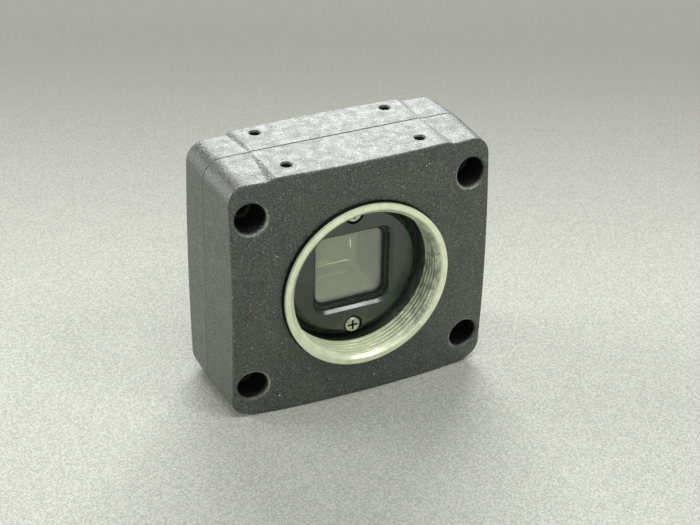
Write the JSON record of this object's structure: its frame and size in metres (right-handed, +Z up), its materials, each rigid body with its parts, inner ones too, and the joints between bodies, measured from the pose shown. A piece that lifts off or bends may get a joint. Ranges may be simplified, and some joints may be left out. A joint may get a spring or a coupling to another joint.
{
  "type": "machine vision camera",
  "caption": "Compact black box camera with a plated, threaded lens ring, a square sensor window and tapped mounting holes.",
  "frame": {"origin": "centre of the lens mount ring's front face, the lens seat, on the optical axis", "axes": "-Y the way the camera looks, along the optical axis; +X to the right as the camera faces the viewer; +Z up"},
  "size_m": [0.0446, 0.0222, 0.0414],
  "materials": {
    "case_coating": "fine sand-textured black coating",
    "ring_plating": "silvery plating with a faint yellow-green tint",
    "holder_black": "satin black",
    "seal_rubber": "matt",
    "filter_pane": "clear, coated",
    "screw_plated": "bright",
    "screw_black": "black oxide",
    "shroud_plastic": "smooth, matt",
    "package_plastic": "smooth",
    "silicon": "polished with a green sheen",
    "gold": "bright",
    "board_green": "solder mask",
    "chip_black": "moulded",
    "component_metal": "tinned",
    "ceramic": "fired",
    "connector_plastic": "moulded",
    "light_plastic": "clear moulded",
    "gap_pad": "soft"
  },
  "bodies": {
    "root": {"front_housing": "case_coating", "rear_housing": "case_coating", "lens_mount_ring": "ring_plating", "filter_holder": "holder_black", "filter_gasket": "seal_rubber", "filter_glass": "filter_pane", "holder_screws": "screw_plated", "sensor_shroud": "shroud_plastic", "sensor_package": "package_plastic", "sensor_cover_glass": "filter_pane", "sensor_die": "silicon", "bond_wires": "gold", "main_board": "board_green", "capacitors": "ceramic", "light_pipe": "light_plastic", "case_screws": "screw_black", "board_screws": "screw_plated", "processor_chip": "chip_black", "memory_chip": "chip_black", "usb_controller": "chip_black", "crystal": "component_metal", "power_inductor": "chip_black", "status_led": "light_plastic", "thermal_pad": "gap_pad", "usb_shell": "component_metal", "usb_tongue": "chip_black", "io_connector": "connector_plastic", "io_pins": "gold"}
  },
  "joints": []
}
